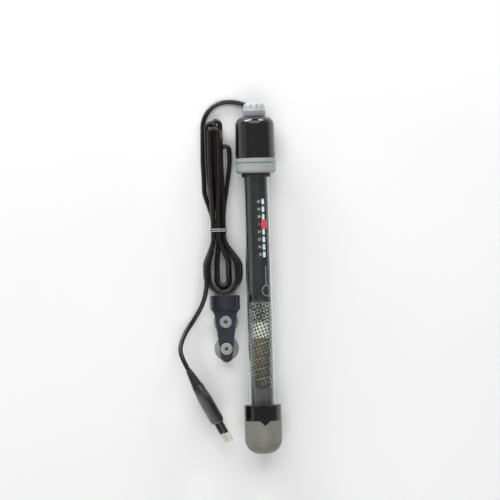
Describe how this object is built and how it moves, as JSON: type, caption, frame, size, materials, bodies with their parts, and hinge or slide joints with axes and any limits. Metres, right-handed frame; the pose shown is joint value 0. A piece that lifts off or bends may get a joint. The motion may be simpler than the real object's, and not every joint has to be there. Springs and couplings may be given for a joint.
{
  "type": "submersible aquarium heater",
  "caption": "Slim glass tube heater with a dial head, soft end cap, folded mains cord with a flat plug, and a suction cup holder with an open clip.",
  "frame": {"origin": "on the glass tube's axis, near the middle of its shown length, at the row's tube grip mount", "axes": "+Y along the tube towards the dial, +Z the way the printed scale faces, floor at z = -15.8 mm"},
  "size_m": [0.0875, 0.302, 0.0343],
  "materials": {
    "knob_plastic": "satin",
    "brass": "satin",
    "spring_steel": "satin",
    "seal_rubber": "matte",
    "red_plastic": "satin",
    "black_plastic": "satin",
    "cord_rubber": "satin",
    "core_copper": "satin",
    "grey_plastic": "satin",
    "tube_glass": "gloss",
    "scale_card": "satin",
    "white_card": "matte",
    "smoked_plastic": "gloss",
    "laminate": "matte",
    "contact_metal": "satin",
    "magnet": "matte",
    "ceramic": "matte",
    "lamp_glass": "gloss",
    "resistance_wire": "satin",
    "clear_film": "gloss",
    "black_pad": "matte",
    "gloss_black_plastic": "gloss",
    "bumper_rubber": "satin",
    "tie_plastic": "satin",
    "nickel": "gloss",
    "cup_rubber": "satin"
  },
  "bodies": {
    "heater": {"spindle_oring": "seal_rubber", "head_cap": "black_plastic", "cord_gland": "cord_rubber", "supply_cores": "core_copper", "tube_bung": "seal_rubber", "lock_collar": "grey_plastic", "tube_seal": "seal_rubber", "glass_tube": "tube_glass", "scale_sleeve": "scale_card", "scale_backing": "white_card", "lamp_window": "smoked_plastic", "chassis": "laminate", "spindle_bearing": "laminate", "terminal_block": "laminate", "fixed_contact": "contact_metal", "contact_magnet": "magnet", "thermal_fuse": "brass", "lamp_resistor": "ceramic", "pilot_lamp": "lamp_glass", "element_disc": "laminate", "element_leads": "spring_steel", "element_core": "ceramic", "heating_coil": "resistance_wire", "dotted_film": "clear_film", "end_pad": "black_pad", "end_ring": "gloss_black_plastic", "end_bumper": "bumper_rubber", "supply_lead": "cord_rubber", "cord_hank": "cord_rubber", "cord_tail": "cord_rubber", "cord_tie": "tie_plastic", "plug_body": "black_plastic", "plug_boot": "cord_rubber", "plug_pins": "nickel", "pin_sleeves": "gloss_black_plastic", "holder_frame": "black_plastic", "suction_cups": "cup_rubber"},
    "dial": {"dial_knob": "knob_plastic", "dial_spindle": "brass", "spindle_clip": "spring_steel"},
    "pointer": {"temperature_pointer": "red_plastic"},
    "contact_arm": {"bimetal_strip": "spring_steel", "moving_contact": "contact_metal", "blade_rivet": "brass"}
  },
  "joints": [
    {"name": "dial_turn", "type": "hinge", "parent": "heater", "child": "dial", "pos_m": [0, 0.15, 0], "axis": [0, -1, 0], "range_deg": [-1440, 1080]},
    {"name": "pointer_slide", "type": "slide", "parent": "heater", "child": "pointer", "axis": [0, 1, 0], "range_m": [-0.0256, 0.0192]},
    {"name": "contact_arm_flex", "type": "hinge", "parent": "heater", "child": "contact_arm", "pos_m": [0, 0.1042, -0.0046], "axis": [-1, 0, 0], "range_deg": [0, 3], "stiffness_Nm_per_rad": 0.05}
  ],
  "couplings": [
    {"joint": "pointer_slide", "follows": "dial_turn", "m_per_rad": 0.0010186}
  ]
}
